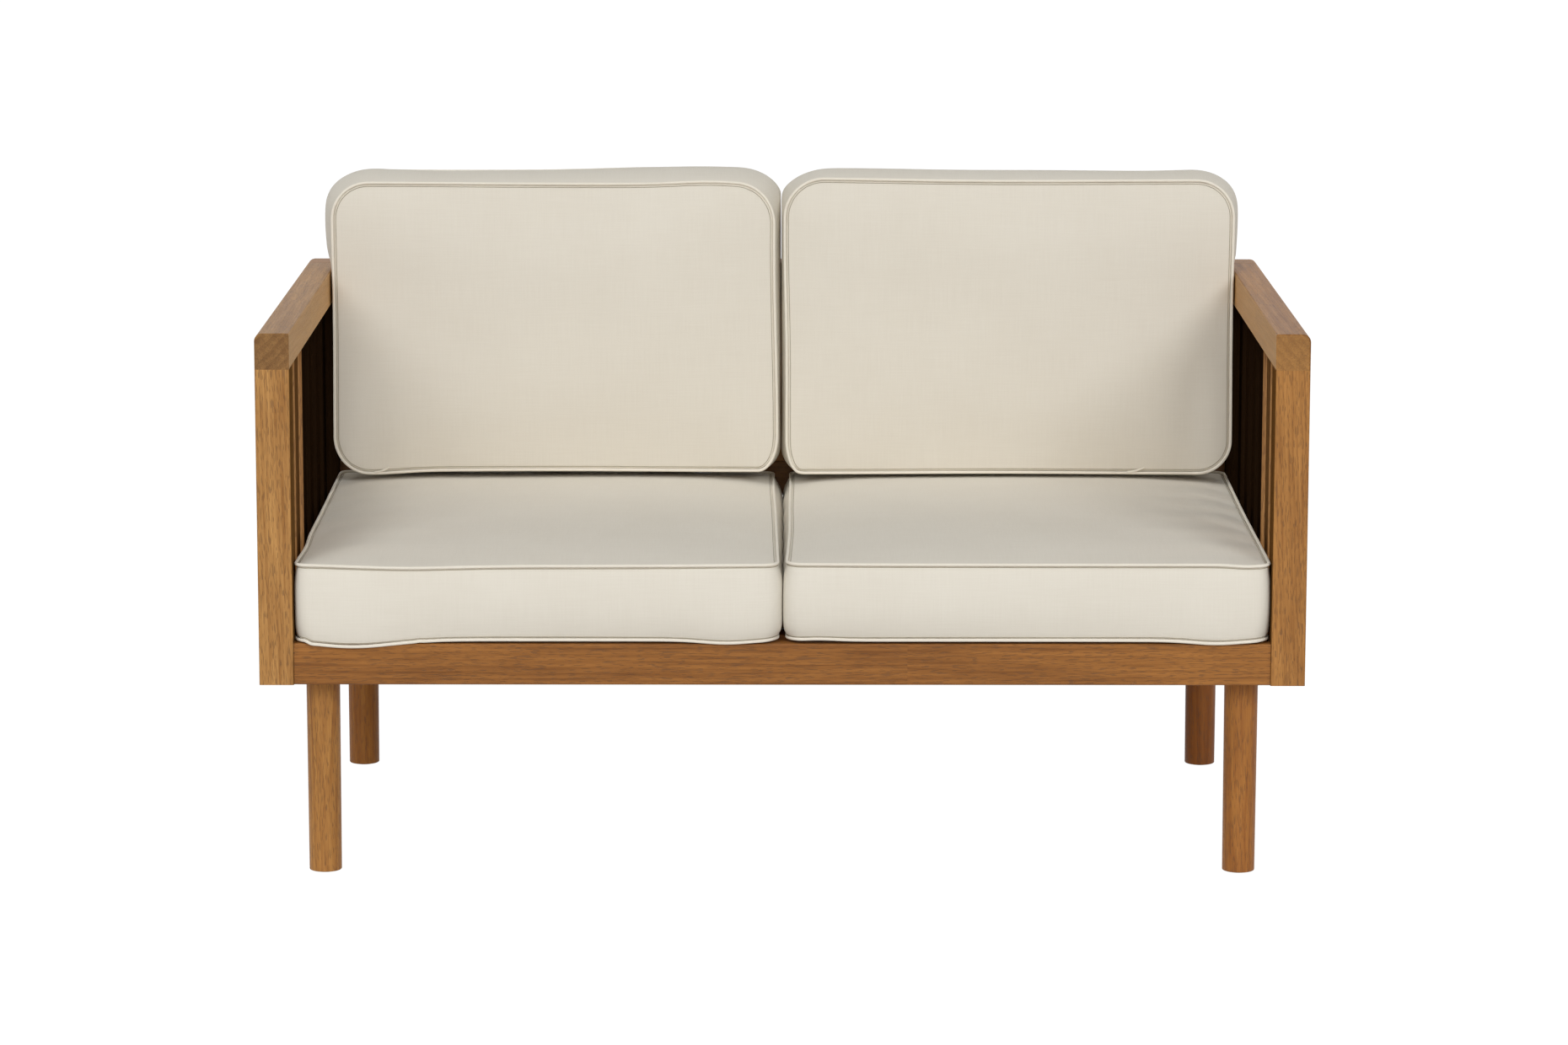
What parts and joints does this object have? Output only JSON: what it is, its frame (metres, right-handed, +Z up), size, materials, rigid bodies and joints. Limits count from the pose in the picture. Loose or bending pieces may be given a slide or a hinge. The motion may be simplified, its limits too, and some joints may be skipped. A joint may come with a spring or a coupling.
{
  "type": "patio loveseat",
  "caption": "Outdoor loveseat: slatted hardwood box frame on round legs, with loose boxed and piped seat and back cushions that lift out.",
  "frame": {"origin": "on the floor under the middle of the frame", "axes": "+Z up, +X to the right seen from the front, the open front faces -Y"},
  "size_m": [1.27, 0.74, 0.8056],
  "materials": {
    "frame_wood": "satin",
    "leg_wood": "satin",
    "dowel_wood": "matte",
    "zinc_steel": "satin",
    "glide_nylon": "matte",
    "cover_cloth": "matte",
    "foam": "matte"
  },
  "bodies": {
    "frame": {"arm_left": "frame_wood", "arm_right": "frame_wood", "back_lower_rail": "frame_wood", "back_slat_1": "frame_wood", "back_slat_2": "frame_wood", "back_slat_3": "frame_wood", "back_slat_4": "frame_wood", "back_slat_5": "frame_wood", "back_slat_6": "frame_wood", "back_slat_7": "frame_wood", "back_top_rail": "frame_wood", "barrel_nuts": "zinc_steel", "centre_bearer": "frame_wood", "corner_block_front_left": "frame_wood", "corner_block_front_right": "frame_wood", "corner_block_rear_left": "frame_wood", "corner_block_rear_right": "frame_wood", "deck_screws": "zinc_steel", "foot_glides": "glide_nylon", "frame_bolts": "zinc_steel", "frame_screws": "zinc_steel", "front_post_left": "frame_wood", "front_post_right": "frame_wood", "front_rail": "frame_wood", "joint_dowels": "dowel_wood", "ledger_left": "frame_wood", "ledger_right": "frame_wood", "leg_front_left": "leg_wood", "leg_front_right": "leg_wood", "leg_hanger_bolts": "zinc_steel", "leg_nuts": "zinc_steel", "leg_rear_left": "leg_wood", "leg_rear_right": "leg_wood", "rear_post_left": "frame_wood", "rear_post_right": "frame_wood", "rear_rail": "frame_wood", "seat_slats": "frame_wood", "side_rail_left": "frame_wood", "side_rail_right": "frame_wood", "side_slat_left_1": "frame_wood", "side_slat_left_2": "frame_wood", "side_slat_left_3": "frame_wood", "side_slat_left_4": "frame_wood", "side_slat_left_5": "frame_wood", "side_slat_left_6": "frame_wood", "side_slat_right_1": "frame_wood", "side_slat_right_2": "frame_wood", "side_slat_right_3": "frame_wood", "side_slat_right_4": "frame_wood", "side_slat_right_5": "frame_wood", "side_slat_right_6": "frame_wood"},
    "back_cushion_left": {"back_cover_left": "cover_cloth", "back_foam_left": "foam"},
    "back_cushion_right": {"back_cover_right": "cover_cloth", "back_foam_right": "foam"},
    "seat_cushion_left": {"seat_cover_left": "cover_cloth", "seat_foam_left": "foam"},
    "seat_cushion_right": {"seat_cover_right": "cover_cloth", "seat_foam_right": "foam"}
  },
  "joints": [
    {"name": "seat_cushion_left_slide_out", "type": "slide", "parent": "frame", "child": "seat_cushion_left", "axis": [0, -1, 0], "range_m": [0, 0.7]},
    {"name": "seat_cushion_right_slide_out", "type": "slide", "parent": "frame", "child": "seat_cushion_right", "axis": [0, -1, 0], "range_m": [0, 0.7]},
    {"name": "back_cushion_left_lift", "type": "slide", "parent": "frame", "child": "back_cushion_left", "axis": [0, 0, 1], "range_m": [0, 0.42]},
    {"name": "back_cushion_right_lift", "type": "slide", "parent": "frame", "child": "back_cushion_right", "axis": [0, 0, 1], "range_m": [0, 0.42]}
  ]
}
